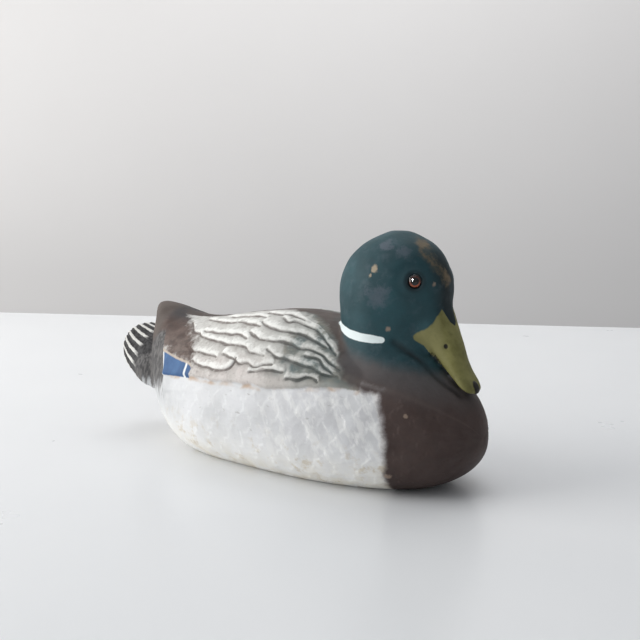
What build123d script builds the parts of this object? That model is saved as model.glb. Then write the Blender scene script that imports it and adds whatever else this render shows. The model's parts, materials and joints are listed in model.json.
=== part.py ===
"""A mallard drake decoy: a hollow-carved wooden body on a bottom board, with a separate head.

Millimetres. +X points towards the breast, +Y to the bird's left, +Z up. The origin is on the
flat underside, at the middle of the whole decoy's length and width.

Each function makes one piece, or one group of the same fastener, and the last lines write them.
"""

from build123d import *
from math import cos, pi, sin
import os

# ---- driving dimensions -----------------------------------------------------------------------

LENGTH = 377.0            # tail tip to breast
BODY_WIDTH = 150.0        # widest part of the flanks

BREAST_X = LENGTH / 2     # front of the breast
RUMP_X = -157.5           # back of the carved body, under the wing tips
WIDEST_X = 28.0           # station of the widest section
CUT_BELOW = 9.0           # how far the hull shape is carried below the flat underside
BELLY_LIFT = 0.40         # height of the widest line, as a share of the section's height

# Deck line and keel line on the centre plane: (x, z)
DECK = [(-157.5, 117), (-156, 122), (-151, 124.5), (-142, 123.5), (-126, 119.5), (-106, 116),
        (-82, 116.5), (-47, 122), (-10, 127.5), (22, 129.8), (50, 127.4), (80, 121.5),
        (104, 117.5), (128, 111.5), (145, 104.5), (157, 95), (169, 84), (178, 75), (184, 66),
        (187.5, 56), (188.5, 46)]
KEEL = [(-157.5, 92), (-154, 73), (-147, 54), (-133, 31), (-115, 11), (-98, 0), (-74, -7),
        (-30, -CUT_BELOW), (30, -CUT_BELOW), (80, -7), (110, -4.5), (130, -2), (147, 1.5),
        (160, 6), (172, 13), (182, 24), (188.5, 38)]

# Head: (z, centre x, half length, half width, narrowing of the front) of level sections, from
# inside the neck to the crown
HEAD = [(96, 107, 44, 38, 0), (108, 106, 43.5, 37.5, 0.06), (118, 106, 43, 37, 0.14),
        (127, 106.5, 43.5, 37.5, 0.18), (137, 108, 45.5, 38.8, 0.14), (149, 109, 46.5, 39.8, 0.08),
        (161, 109.5, 45.5, 39.2, 0.04), (172, 109.8, 41, 36, 0.02), (182, 110.5, 34, 30, 0),
        (190, 111.5, 24, 21.3, 0), (195, 112, 13.5, 12, 0)]
CROWN_Z = 197.0

# Neck seat: the flat joint between head and body, sloping down to the front
SEAT_X = 109.0
SEAT_Z = 113.0
SEAT_TILT = 11.0          # degrees
COLLAR = [(60, 102, 64, 58, 0), (84, 103, 58, 51, 0), (100, 105, 51, 43.5, 0.02),
          (112, 106, 45.5, 39, 0.1), (126, 106.3, 43.2, 37.4, 0.17)]

# Bill: (distance along the bill, underside, top, half width) in its own sloping frame
BILL_X, BILL_Z = 150.0, 120.0
BILL_SLOPE = 40.0         # degrees below level
BILL = [(-18, -9, 25, 17), (-10, -9.8, 20.5, 19), (-3, -11, 17, 17.8), (4, -12, 13.8, 15.3),
        (12, -12.6, 9.8, 13.6), (20, -13, 5.4, 12.8), (28, -13.3, 0.6, 12.9),
        (36, -13.5, -3.4, 13.4), (42.5, -13.5, -5.4, 13.5), (47, -13.3, -6.4, 12),
        (50, -12.9, -7.4, 8.8), (51.8, -12.2, -8.6, 4)]

# Eyes
EYE_DIAMETER = 11.0
EYE_THICK = 5.2
EYE_X = 143.3
EYE_Z = 162.0
EYE_AIM = 38.0            # degrees that the eye faces forward of sideways
EYE_TIP_Y = 27.6          # how far out from the centre plane the eye's front stands
PUPIL_DIAMETER = 4.4
IRIS_DIAMETER = 10.2
IRIS_THICK = 0.6
PUPIL_THICK = 0.7
SOCKET_DIAMETER = 13.0
SOCKET_DEPTH = 9.0

# Tail: (x, top z, half width, edge z) of the arched tail and the coverts it grows out of
TAIL = [(-118, 90, 33, 44), (-135, 91, 37.5, 46.5), (-147, 92.5, 39.5, 50), (-160, 94.8, 39.5, 57),
        (-174, 98, 36.5, 67), (-183, 100.3, 33, 77), (-187, 101, 26, 86), (-188.5, 101, 18, 92.5)]
COVERT_END_X = -164.0     # where the solid coverts end and the thin fan goes on
FAN_THICK = 5.5
FAN_EDGE = 4.0
TONGUE_LENGTH, TONGUE_WIDTH, TONGUE_THICK, TONGUE_Z = 26.0, 30.0, 8.0, 84.5

# Hollow, bottom board and gasket
HOLLOW_X = 13.0           # middle of the hollow and of the board, both ellipses in plan
BOARD_HALF_LENGTH, BOARD_HALF_WIDTH = 100.0, 47.0
HOLLOW_TOP = 90.0
BOARD_THICK = 14.0
BOARD_LEDGE = 9.0         # width of the ledge that the board closes against
GASKET_THICK = 1.0
BOARD_GAP = 0.2

BOARD_SCREWS = 8
BOARD_SCREW_R = 1.8
BOARD_SCREW_HEAD_R = 3.4
BOARD_SCREW_LENGTH = 32.0
SCREW_GAP = 0.1

# Ballast, let into the underside of the board
BALLAST_X = 20.0
BALLAST_LENGTH, BALLAST_WIDTH, BALLAST_THICK = 90.0, 40.0, 7.5
BALLAST_DEPTH = 8.0
BALLAST_CORNER = 8.0
BALLAST_SCREW_SPACING = 70.0

# Neck lag screw, its washer and the locating dowels
LAG_X = 88.0
LAG_R = 4.0
LAG_TOP = 152.0
LAG_HEX = 13.0            # across flats
LAG_HEAD = 5.5
WASHER_R = 12.0
WASHER_THICK = 2.0
DOWEL_X = 112.0
DOWEL_R = 4.0
DOWEL_SPREAD = 22.0
DOWEL_LENGTH = 34.0

# Line tie, in a recess in the breast's underside
TIE_X = 126.0
TIE_BACK, TIE_FRONT = 116.5, 151.0
TIE_HALF_WIDTH = 15.0
TIE_DEPTH = 10.0
RING_WIRE_R = 1.5
RING_BAR_Z = 6.3
RING_INNER = 18.0         # clear width inside the ring, along its bar
RING_REACH = 17.5         # bar's axis to the middle of the bow's wire
RING_REST = 15.6          # degrees that the ring hangs below level, its bow on the ground
SADDLE_WIDTH = 9.0
SADDLE_THICK = 1.4
SADDLE_GAP = 0.15
SADDLE_FOOT = 6.0
TIE_SCREW_R = 1.5
TIE_SCREW_LENGTH = 14.0


# ---- the decoy's outer shape ------------------------------------------------------------------


def line_through(points):
    """A smooth curve through (x, z) points, read back as a function of x."""
    curve = Spline(*[(x, 0, z) for x, z in points])

    def at(x):
        low, high = 0.0, 1.0
        for _ in range(40):
            middle = (low + high) / 2
            low, high = (middle, high) if curve.position_at(middle).X < x else (low, middle)
        return curve.position_at((low + high) / 2).Z

    return at


deck_at = line_through(DECK)
keel_at = line_through(KEEL)


def half_width(x):
    """The body's half width at a station: blunt at the rump, finer at the breast."""
    end, fullness = (BREAST_X, 1.98) if x > WIDEST_X else (RUMP_X, 2.4)
    share = abs((x - WIDEST_X) / (end - WIDEST_X))
    return max(BODY_WIDTH / 2 * (1 - share**fullness) ** 0.5, 5.0)


def signed_power(value, power):
    return (1 if value >= 0 else -1) * abs(value) ** power


def body_section(x):
    """One closed section of the hull: round above the widest line, squarer below it."""
    deck, keel, wide = deck_at(x), keel_at(x), half_width(x)
    waist = keel + BELLY_LIFT * (deck - keel)
    points = []
    steps = 28
    for i in range(steps):
        a = 2 * pi * i / steps - pi / 2
        upper = sin(a) >= 0
        y = wide * signed_power(cos(a), 1.0 if upper else 0.8)
        rise = (deck - waist) * sin(a) if upper else (waist - keel) * signed_power(sin(a), 0.72)
        points.append((x, y, waist + rise))
    return make_face(Spline(*points, periodic=True))


def level_egg(z, x, half_length, half_breadth, narrowing):
    """A level section of the head or neck: an ellipse, made finer towards the bill."""
    points = []
    for i in range(24):
        a = 2 * pi * i / 24
        breadth = half_breadth * (1 - narrowing * max(0, cos(a)))
        points.append((x + half_length * cos(a), breadth * sin(a), z))
    return make_face(Spline(*points, periodic=True))


def seat_side(above):
    """A block that holds everything above, or everything below, the sloping neck seat."""
    block = Pos(0, 0, 150 if above else -150) * Box(400, 300, 300)
    return Pos(SEAT_X, 0, SEAT_Z) * Rot(0, SEAT_TILT, 0) * block


def hull():
    stations = [-157.5, -156, -152, -144, -130, -110, -84, -50, -12, 28, 64, 96, 122, 142, 158,
                171, 180, 185.5, 188.5]
    return loft([body_section(x) for x in stations])


def collar():
    return loft([level_egg(*row) for row in COLLAR])


def head_ball():
    return loft([level_egg(*row) for row in HEAD] + [Vertex(HEAD[-1][1], 0, CROWN_Z)])


def bill_solid():
    """The bill in place: lofted along its own axis, then sloped down to the breast."""
    sections = []
    for along, under, top, half_breadth in BILL:
        lip = under + 0.32 * (top - under)
        outline = []
        for i in range(20):
            a = 2 * pi * i / 20
            y = half_breadth * signed_power(cos(a), 0.8)
            rise = (top - lip) * sin(a) if sin(a) > 0 else (lip - under) * signed_power(sin(a), 0.8)
            outline.append((along, y, lip + rise))
        sections.append(make_face(Spline(*outline, periodic=True)))
    return Pos(BILL_X, 0, BILL_Z) * Rot(0, BILL_SLOPE, 0) * loft(sections)


def tail_section(x, top, half_breadth, edge, drop=0.0, inset=0.0):
    """An arch standing across the bird, closed by a shallower arch below."""
    wide, high, low = half_breadth - inset, top - drop, edge - drop
    arch = Spline(*[(x, wide * cos(pi * i / 12), low + (high - low) * sin(pi * i / 12))
                    for i in range(13)])
    sole = ThreePointArc((x, -wide, low), (x, 0, low + 0.12 * (high - low) - inset), (x, wide, low))
    return make_face([arch, sole])


def tail_solid():
    return loft([tail_section(*row) for row in TAIL])


def tail_hollow():
    """The room under the fan, which leaves it thin and arched."""
    rows = [row for row in TAIL if row[0] < -140]
    return loft([tail_section(*row, drop=FAN_THICK, inset=FAN_EDGE) for row in rows])


def behind(x):
    return Pos(x - 200, 0, 100) * Box(400, 400, 400)


# ---- pieces -----------------------------------------------------------------------------------


def board_shape(low, high, inset=0.0):
    """An upright elliptical block: the board's outline, or the same set in by a little."""
    plan = Ellipse(BOARD_HALF_LENGTH - inset, BOARD_HALF_WIDTH - inset)
    return Pos(HOLLOW_X, 0, low) * extrude(plan, high - low)


def board_screw_spots():
    long_way, wide_way = BOARD_HALF_LENGTH - BOARD_LEDGE / 2, BOARD_HALF_WIDTH - BOARD_LEDGE / 2
    turns = [2 * pi * (i + 0.5) / BOARD_SCREWS for i in range(BOARD_SCREWS)]
    return [(HOLLOW_X + long_way * cos(a), wide_way * sin(a)) for a in turns]


def countersunk(radius, head_radius, length, gap=0.0):
    """A countersunk screw pointing up, its flat head at z 0."""
    sink = head_radius - radius
    cone = Pos(0, 0, sink / 2) * Cone(head_radius + gap, radius + gap, sink)
    return cone + Pos(0, 0, length / 2) * Cylinder(radius + gap, length)


def board_screws(gap=0.0):
    screw = countersunk(BOARD_SCREW_R, BOARD_SCREW_HEAD_R, BOARD_SCREW_LENGTH, gap)
    return [Pos(x, y, 0.3) * screw for x, y in board_screw_spots()]


def ballast_screws(gap=0.0):
    screw = countersunk(BOARD_SCREW_R, BOARD_SCREW_HEAD_R, BOARD_THICK - 1, gap)
    half = BALLAST_SCREW_SPACING / 2
    return [Pos(BALLAST_X + side * half, 0, 0.8) * screw for side in (-1, 1)]


def lag_screw(gap=0.0):
    shank = Pos(0, 0, (HOLLOW_TOP + LAG_TOP) / 2) * Cylinder(LAG_R + gap, LAG_TOP - HOLLOW_TOP)
    through = Pos(0, 0, HOLLOW_TOP - WASHER_THICK / 2) * Cylinder(LAG_R + gap, WASHER_THICK)
    hexagon = extrude(RegularPolygon(LAG_HEX / 2, 6, major_radius=False), LAG_HEAD)
    head = Pos(0, 0, HOLLOW_TOP - WASHER_THICK - LAG_HEAD) * hexagon
    return Pos(LAG_X, 0, 0) * (shank + through + head)


def dowels(gap=0.0):
    return [Pos(DOWEL_X, side * DOWEL_SPREAD, SEAT_Z) * Cylinder(DOWEL_R + gap, DOWEL_LENGTH)
            for side in (-1, 1)]


def eye_frame(side):
    """Local +Z looks out of the eye, its origin on the eye's front. side is 1 for the left eye."""
    aim = Rot(0, 0, side * (90 - EYE_AIM)) * Rot(0, 90, 0)
    return Pos(EYE_X, side * EYE_TIP_Y, EYE_Z) * aim


def eye_glass(side):
    """A plano-convex glass with a pocket in its flat back for the pupil."""
    radius = EYE_DIAMETER / 2
    dome_rise = 3.2
    dome_radius = (radius**2 + dome_rise**2) / (2 * dome_rise)
    dome = Pos(0, 0, -dome_radius) * Sphere(dome_radius)
    blank = Pos(0, 0, -EYE_THICK / 2) * Cylinder(radius, EYE_THICK)
    pocket = Pos(0, 0, -EYE_THICK + PUPIL_THICK / 2) * Cylinder(PUPIL_DIAMETER / 2, PUPIL_THICK)
    rim = Pos(0, 0, -(dome_rise + EYE_THICK) / 2) * Cylinder(radius, EYE_THICK - dome_rise)
    return eye_frame(side) * ((dome & blank) + rim - pocket)


def eye_pupil(side):
    disc = Cylinder(PUPIL_DIAMETER / 2, PUPIL_THICK)
    return eye_frame(side) * (Pos(0, 0, -EYE_THICK + PUPIL_THICK / 2) * disc)


def eye_iris(side):
    disc = Cylinder(IRIS_DIAMETER / 2, IRIS_THICK)
    return eye_frame(side) * (Pos(0, 0, -EYE_THICK - IRIS_THICK / 2) * disc)


def eye_socket(side):
    hole = Pos(0, 0, -SOCKET_DEPTH / 2 + 4) * Cylinder(SOCKET_DIAMETER / 2, SOCKET_DEPTH + 8)
    return eye_frame(side) * hole


def eye_putty(side):
    """The putty that beds the glass in its socket, level with the face around it."""
    bed = Pos(0, 0, -SOCKET_DEPTH / 2) * Cylinder(SOCKET_DIAMETER / 2, SOCKET_DEPTH)
    glass_room = Pos(0, 0, -EYE_THICK / 2) * Cylinder(EYE_DIAMETER / 2, EYE_THICK)
    iris_room = Pos(0, 0, -EYE_THICK - IRIS_THICK / 2) * Cylinder(IRIS_DIAMETER / 2, IRIS_THICK)
    return (eye_frame(side) * (bed - glass_room - iris_room)) & head_ball()


def tie_recess():
    plan = RectangleRounded(TIE_FRONT - TIE_BACK, 2 * TIE_HALF_WIDTH, 6)
    return Pos((TIE_BACK + TIE_FRONT) / 2, 0, 0) * extrude(plan, TIE_DEPTH)


def saddle_outline(clearance):
    """The hump that passes under the ring's bar, drawn on the XZ plane."""
    radius = RING_WIRE_R + clearance
    hump = Pos(0, RING_BAR_Z) * Circle(radius)
    sides = Pos(0, (RING_BAR_Z + TIE_DEPTH) / 2) * Rectangle(2 * radius, TIE_DEPTH - RING_BAR_Z)
    return hump + sides


def tie_screw_spots():
    reach = RING_WIRE_R + SADDLE_GAP + SADDLE_THICK + SADDLE_FOOT / 2
    return [TIE_X - reach, TIE_X + reach]


def line_tie_saddle():
    """A brass strap bent over the ring's bar, with a foot each side screwed to the recess."""
    hump = saddle_outline(SADDLE_GAP + SADDLE_THICK) - saddle_outline(SADDLE_GAP)
    foot_span = 2 * (RING_WIRE_R + SADDLE_GAP + SADDLE_THICK + SADDLE_FOOT)
    feet = Pos(0, TIE_DEPTH - SADDLE_THICK / 2) * Rectangle(foot_span, SADDLE_THICK)
    section = hump + (feet - saddle_outline(SADDLE_GAP))
    section = section & (Pos(0, TIE_DEPTH / 2) * Rectangle(foot_span, TIE_DEPTH))
    strap = extrude(Plane.XZ * section, SADDLE_WIDTH / 2, both=True)
    strap = Pos(TIE_X, 0, 0) * strap
    for screw in tie_screws(gap=SCREW_GAP):
        strap = strap - screw
    return strap


def tie_screws(gap=0.0):
    screw = countersunk(TIE_SCREW_R, 2.7, TIE_SCREW_LENGTH, gap)
    return [Pos(x, 0, TIE_DEPTH - SADDLE_THICK) * screw for x in tie_screw_spots()]


def anchor_ring():
    """A D-shaped brass ring: a straight bar through the saddle, and a bow for the anchor line."""
    half = RING_INNER / 2 + RING_WIRE_R
    corner = 3.0
    bar = Line((0, -half + corner, 0), (0, half - corner, 0))
    bow_start = RING_REACH - half
    right = JernArc((0, half - corner, 0), (0, 1, 0), corner, -90)
    left = JernArc((0, -half + corner, 0), (0, -1, 0), corner, 90)
    side_right = Line(right @ 1, (bow_start, half, 0))
    side_left = Line(left @ 1, (bow_start, -half, 0))
    bow = ThreePointArc(side_right @ 1, (RING_REACH, 0, 0), side_left @ 1)
    path = Wire([bar, right, side_right, bow, side_left, left])
    wire = sweep(Plane(origin=bar @ 0.5, z_dir=(0, 1, 0)) * Circle(RING_WIRE_R), path)
    return Pos(TIE_X, 0, RING_BAR_Z) * Rot(0, RING_REST, 0) * wire


def tail_tongue():
    bar = Box(TONGUE_LENGTH + 4, TONGUE_WIDTH, TONGUE_THICK)
    return Pos(COVERT_END_X + TONGUE_LENGTH / 2 - 2, 0, TONGUE_Z) * bar


def tail_fan():
    fan = (tail_solid() & behind(COVERT_END_X)) - tail_hollow()
    return fan + (tail_tongue() & tail_solid())


def body_upper():
    coverts = tail_solid() - behind(COVERT_END_X)
    shell = hull() + coverts + (collar() & seat_side(above=False))
    shell = shell & (Pos(0, 0, 150) * Box(500, 300, 300))
    shell -= board_shape(-1, HOLLOW_TOP, inset=BOARD_LEDGE)
    shell -= board_shape(-1, BOARD_THICK + GASKET_THICK)
    shell -= tail_tongue()
    shell -= tie_recess()
    shell -= bill_solid()
    shell -= head_block()
    for cutter in [*board_screws(SCREW_GAP), *tie_screws(SCREW_GAP), *dowels()]:
        shell -= cutter
    return shell - lag_screw(SCREW_GAP)


def bottom_board():
    board = board_shape(0, BOARD_THICK, inset=BOARD_GAP)
    pocket = extrude(RectangleRounded(BALLAST_LENGTH, BALLAST_WIDTH, BALLAST_CORNER), BALLAST_DEPTH)
    board -= Pos(BALLAST_X, 0, 0) * pocket
    for cutter in [*board_screws(SCREW_GAP), *ballast_screws(SCREW_GAP)]:
        board -= cutter
    return board


def bottom_gasket():
    low, high = BOARD_THICK, BOARD_THICK + GASKET_THICK
    ring = board_shape(low, high, inset=BOARD_GAP) - board_shape(low, high, inset=BOARD_LEDGE)
    for cutter in board_screws(SCREW_GAP):
        ring -= cutter
    return ring


def ballast_weight():
    plan = RectangleRounded(BALLAST_LENGTH - 1, BALLAST_WIDTH - 1, BALLAST_CORNER - 0.5)
    slab = Pos(BALLAST_X, 0, BALLAST_DEPTH - BALLAST_THICK) * extrude(plan, BALLAST_THICK)
    for cutter in ballast_screws(SCREW_GAP):
        slab -= cutter
    return slab


def head_block():
    return head_ball() & seat_side(above=True)


def head():
    block = head_block() - bill_solid()
    for side in (-1, 1):
        block -= eye_socket(side)
    for cutter in dowels():
        block -= cutter
    return block - lag_screw(SCREW_GAP)


def neck_washer():
    plate = Cylinder(WASHER_R, WASHER_THICK) - Cylinder(LAG_R + SCREW_GAP, WASHER_THICK)
    return Pos(LAG_X, 0, HOLLOW_TOP - WASHER_THICK / 2) * plate


pieces = {
    "body_upper": body_upper(),
    "bottom_board": bottom_board(),
    "bottom_gasket": bottom_gasket(),
    "bottom_board_screws": Compound(board_screws()),
    "head": head(),
    "bill": bill_solid(),
    "tail_fan": tail_fan(),
    "ballast_weight": ballast_weight(),
    "ballast_screws": Compound(ballast_screws()),
    "neck_lag_screw": lag_screw(),
    "neck_washer": neck_washer(),
    "neck_dowels": Compound(dowels()),
    "line_tie_saddle": line_tie_saddle(),
    "line_tie_screws": Compound(tie_screws()),
    "anchor_ring": anchor_ring(),
}
for name, side in (("right", -1), ("left", 1)):
    pieces[f"{name}_eye_glass"] = eye_glass(side)
    pieces[f"{name}_eye_pupil"] = eye_pupil(side)
    pieces[f"{name}_eye_iris"] = eye_iris(side)
    pieces[f"{name}_eye_putty"] = eye_putty(side)

os.makedirs("parts", exist_ok=True)
for name, piece in pieces.items():
    export_step(piece, f"parts/{name}.step")
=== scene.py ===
"""A floating drake decoy: carved wood, painted by hand and worn, standing on a pale table."""

import json
import math

import bmesh
import bpy
import numpy as np
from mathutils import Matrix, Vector
from mathutils.bvhtree import BVHTree

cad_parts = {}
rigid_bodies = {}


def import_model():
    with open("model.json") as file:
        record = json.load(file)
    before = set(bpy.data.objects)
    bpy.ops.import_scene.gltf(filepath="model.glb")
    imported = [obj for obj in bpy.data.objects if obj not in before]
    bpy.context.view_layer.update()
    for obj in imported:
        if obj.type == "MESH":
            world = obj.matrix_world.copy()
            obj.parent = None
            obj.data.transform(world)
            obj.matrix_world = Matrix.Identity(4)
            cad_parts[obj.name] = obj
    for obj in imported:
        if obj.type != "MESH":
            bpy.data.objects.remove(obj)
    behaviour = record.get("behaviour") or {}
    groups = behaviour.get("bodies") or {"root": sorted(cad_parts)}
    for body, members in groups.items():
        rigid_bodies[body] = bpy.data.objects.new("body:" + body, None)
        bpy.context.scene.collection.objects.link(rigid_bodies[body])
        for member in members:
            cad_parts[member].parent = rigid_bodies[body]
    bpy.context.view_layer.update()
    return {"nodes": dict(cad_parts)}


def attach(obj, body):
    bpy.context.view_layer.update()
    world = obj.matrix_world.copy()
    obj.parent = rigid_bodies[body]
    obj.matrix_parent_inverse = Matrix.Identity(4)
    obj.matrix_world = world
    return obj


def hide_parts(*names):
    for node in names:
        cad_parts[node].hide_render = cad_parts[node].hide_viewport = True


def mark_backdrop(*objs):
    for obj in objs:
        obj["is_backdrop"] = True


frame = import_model()
NODES = frame["nodes"]
MM = 0.001

# ---- the carver's lines ------------------------------------------------------------------------
# Lines on the body are (how far forward, height round the flank), in millimetres. The height
# runs from 110 at the middle of the back, through 0 level with the middle of the body, to the
# keel. Both sides are alike.

GIRTH = 70.0
GIRTH_Z = 45.0

FEATHER_CUTS = [
    [(-82, 95), (-52, 85), (-31, 83), (0, 78)],
    [(-3, 83), (9, 77), (23, 74), (33, 75), (43, 74), (53, 73), (65, 70), (74, 68)],
    [(-68, 74), (-44, 70), (-22, 69), (-6, 64)],
    [(-7, 70), (11, 64), (25, 64), (33, 66), (42, 64), (51, 62), (60, 63), (68, 62), (76, 60),
     (87, 55), (94, 53)],
    [(-99, 88), (-85, 76), (-72, 70), (-57, 65), (-43, 61), (-29, 60), (-20, 57), (-8, 58),
     (-1, 55), (6, 53), (14, 53), (23, 52)],
    [(24, 57), (35, 53), (46, 51), (55, 50), (63, 50), (71, 50), (77, 48), (82, 46), (94, 48)],
    [(-58, 42), (-41, 37), (-30, 37), (-18, 36), (-8, 38), (-6, 47)],
    [(51, 37), (63, 39), (71, 42), (78, 41)],
    [(14, 88), (26, 83), (30, 87), (46, 83), (55, 81), (66, 76), (76, 70), (85, 64)],
    [(-60, 96), (-40, 92), (-22, 92), (-4, 88)],
    [(-8, 96), (10, 93), (24, 93), (38, 89)],
    [(-76, 57), (-62, 51), (-46, 49), (-30, 47)],
    [(-24, 50), (-8, 45), (8, 43), (22, 43), (34, 46)],
    [(14, 38), (30, 41), (46, 43)],
    [(60, 57), (72, 57), (84, 51), (95, 47)],
]
WING_FRONT_RIDGE = [(22, 98), (37, 91), (49, 87), (61, 82), (74, 76), (83, 69)]
WING_UNDER_EDGE = [(-99, 27), (-60, 28), (-37, 28), (-20, 28), (5, 29), (22, 30), (33, 28),
                   (47, 30), (65, 33), (81, 37), (97, 39), (112, 41)]
WING_REAR_EDGE = [(-111, 51), (-105, 37), (-100, 21), (-99, 12)]
WING_TIP_EDGE = [(-130, 64), (-114, 54), (-100, 49), (-81, 43), (-64, 40), (-57, 37)]
WING_TIP_FRONT = [(-125, 112), (-104, 93), (-99, 88), (-85, 76), (-69, 63), (-63, 52), (-57, 37)]
BACK_LIMIT = [(-75, 104), (-45, 107), (-10, 106), (18, 101), (41, 98), (59, 89), (77, 75),
              (90, 60), (101, 53), (117, 46), (129, 48), (139, 21), (142, 0), (142, -60)]
SPECULUM = [(-111, 51), (-100, 49), (-81, 43), (-64, 40), (-58, 35), (-60, 27), (-100, 27)]
BREAST_LIMIT = [(88, 112), (92, 60), (99, 48), (117, 41), (127, 43), (134, 21), (137, 0),
                (136, -26), (131, -60)]

NECK_RING = [(62, 126.5), (70, 124.6), (78, 122.2), (90, 119.6), (101, 118.4), (112, 117.8),
             (119, 117.4)]
RING_END_X = 121.0
BILL_FEATHERING = [(0, 128), (4, 131), (8, 141), (13, 136), (17, 129), (21.5, 120), (24, 112),
                   (24, 60), (0, 60)]
BILL_ROOT = [(0, 128), (4, 131), (8, 141), (13, 136), (17, 129), (21.3, 121), (21, 118),
             (17, 114), (0, 110)]
CREST_WEAR = [(132, -4, 189), (141, -11, 182), (149, -8, 172), (154, -2, 163)]
CHIN_CREASE = [(128, 30, 116), (138, 24.5, 108), (149, 20.5, 100.5),
               (156, 17, 93), (163, 14, 86), (173, 9, 78.5)]

SEAT_X, SEAT_Z, SEAT_TILT = 109.0, 113.0, math.radians(11)
TAIL_ROWS = np.array([(-118, 90, 33, 44), (-135, 91, 37.5, 46.5), (-147, 92.5, 39.5, 50),
                      (-160, 94.8, 39.5, 57), (-174, 98, 36.5, 67), (-183, 100.3, 33, 77),
                      (-187, 101, 26, 86), (-188.5, 101, 18, 92.5)], dtype=float)[::-1]
EYE_TIP = np.array([143.3, 27.6, 162.0])
EYE_AIM = math.radians(38)
TAIL_STRIPES = 12
SKIN_GRAIN = 1.1
HOLLOW_MIDDLE, HOLLOW_LENGTH, HOLLOW_WIDTH = 13, 101.5, 48.5


# ---- measuring along carved lines --------------------------------------------------------------

def beside(flat, line):
    """How far each flat point lies to the left of a broken line, and how far past its ends."""
    line = np.asarray(line, float)
    best = np.full(len(flat), 1e9)
    side = np.zeros(len(flat))
    past = np.zeros(len(flat))
    for a, b in zip(line[:-1], line[1:]):
        run = b - a
        length = np.hypot(*run)
        off = flat - a
        along = off @ run / length
        across = (run[0] * off[:, 1] - run[1] * off[:, 0]) / length
        over = np.maximum(0, np.maximum(-along, along - length))
        gap = np.hypot(over, across)
        nearer = gap < best
        best = np.where(nearer, gap, best)
        side = np.where(nearer, np.where(across >= 0, gap, -gap), side)
        past = np.where(nearer, over, past)
    first, last = line[1] - line[0], line[-1] - line[-2]
    before = -(flat - line[0]) @ first / np.hypot(*first)
    after = (flat - line[-1]) @ last / np.hypot(*last)
    beyond = np.where(past > 0, np.maximum(0, np.maximum(before, after)), 0)
    return side, np.minimum(beyond, past)


def within(flat, outline):
    """Distance inside a closed outline, negative outside."""
    corners = np.asarray(outline, float)
    gap = np.full(len(flat), 1e9)
    inside = np.zeros(len(flat), bool)
    for a, b in zip(corners, np.roll(corners, -1, axis=0)):
        run = b - a
        off = flat - a
        share = np.clip(off @ run / (run @ run), 0, 1)
        gap = np.minimum(gap, np.hypot(*(off - share[:, None] * run).T))
        crosses = (a[1] > flat[:, 1]) != (b[1] > flat[:, 1])
        with np.errstate(divide="ignore", invalid="ignore"):
            meet = a[0] + (flat[:, 1] - a[1]) * run[0] / run[1] if run[1] else a[0]
        inside ^= crosses & (flat[:, 0] < meet)
    return np.where(inside, gap, -gap)


def gap_to_path(points, path, mirrored=True):
    """Distance from points in space to a broken line, on one side of the duck or on both."""
    half = np.abs(points * [0, 1, 0]) + points * [1, 0, 1] if mirrored else points
    gap = np.full(len(points), 1e9)
    path = np.asarray(path, float)
    for a, b in zip(path[:-1], path[1:]):
        run = b - a
        share = np.clip((half - a) @ run / (run @ run), 0, 1)
        gap = np.minimum(gap, np.linalg.norm(half - a - share[:, None] * run, axis=1))
    return gap


def flowing(line, passes=2):
    """A broken line with its corners cut off, as a knife would run it."""
    line = np.asarray(line, float)
    for _ in range(passes):
        a, b = line[:-1], line[1:]
        inner = np.stack([a * 0.75 + b * 0.25, a * 0.25 + b * 0.75], 1).reshape(-1, 2)
        line = np.vstack([line[:1], inner[1:-1], line[-1:]])
    return line


def eased(value, low, high):
    share = np.clip((value - low) / (high - low), 0, 1)
    return share * share * (3 - 2 * share)


def lumps(places, size, seed):
    """Smooth random lumps of a given size over places in space, from -1 to 1."""
    table = np.random.default_rng(seed).uniform(-1, 1, (32, 32, 32))
    scaled = places / size
    cell = np.floor(scaled).astype(int)
    part = scaled - cell
    part = part * part * (3 - 2 * part)
    total = np.zeros(len(places))
    for dx in (0, 1):
        for dy in (0, 1):
            for dz in (0, 1):
                weight = (np.abs(1 - dx - part[:, 0]) * np.abs(1 - dy - part[:, 1])
                          * np.abs(1 - dz - part[:, 2]))
                total += weight * table[(cell[:, 0] + dx) % 32, (cell[:, 1] + dy) % 32,
                                        (cell[:, 2] + dz) % 32]
    return total


# ---- working with meshes -----------------------------------------------------------------------

def points_of(mesh):
    flat = np.empty(len(mesh.vertices) * 3, np.float32)
    mesh.vertices.foreach_get("co", flat)
    return flat.reshape(-1, 3).astype(float) / MM


def normals_of(mesh):
    flat = np.empty(len(mesh.vertices) * 3, np.float32)
    mesh.vertices.foreach_get("normal", flat)
    return flat.reshape(-1, 3).astype(float)


def move_points(mesh, points):
    mesh.vertices.foreach_set("co", (points * MM).astype(np.float32).ravel())
    mesh.update()


def shown(name, mesh):
    made = bpy.data.objects.new(name, mesh)
    bpy.context.scene.collection.objects.link(made)
    return made


def fused(name, nodes, grain):
    """One skin round copies of several CAD nodes, as a mesh of even squares."""
    blank = bmesh.new()
    for node in nodes:
        blank.from_mesh(NODES[node].data)
    mesh = bpy.data.meshes.new(name)
    blank.to_mesh(mesh)
    blank.free()
    block = shown(name, mesh)
    skin = block.modifiers.new("skin", "REMESH")
    skin.mode = "VOXEL"
    skin.voxel_size = grain * MM
    return settle(block)


def settle(block):
    """Applies an object's modifiers."""
    graph = bpy.context.evaluated_depsgraph_get()
    mesh = bpy.data.meshes.new_from_object(block.evaluated_get(graph))
    old = block.data
    block.modifiers.clear()
    block.data = mesh
    bpy.data.meshes.remove(old)
    return block


def edges_of(mesh):
    pairs = np.empty(len(mesh.edges) * 2, np.int32)
    mesh.edges.foreach_get("vertices", pairs)
    return pairs.reshape(-1, 2)


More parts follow.
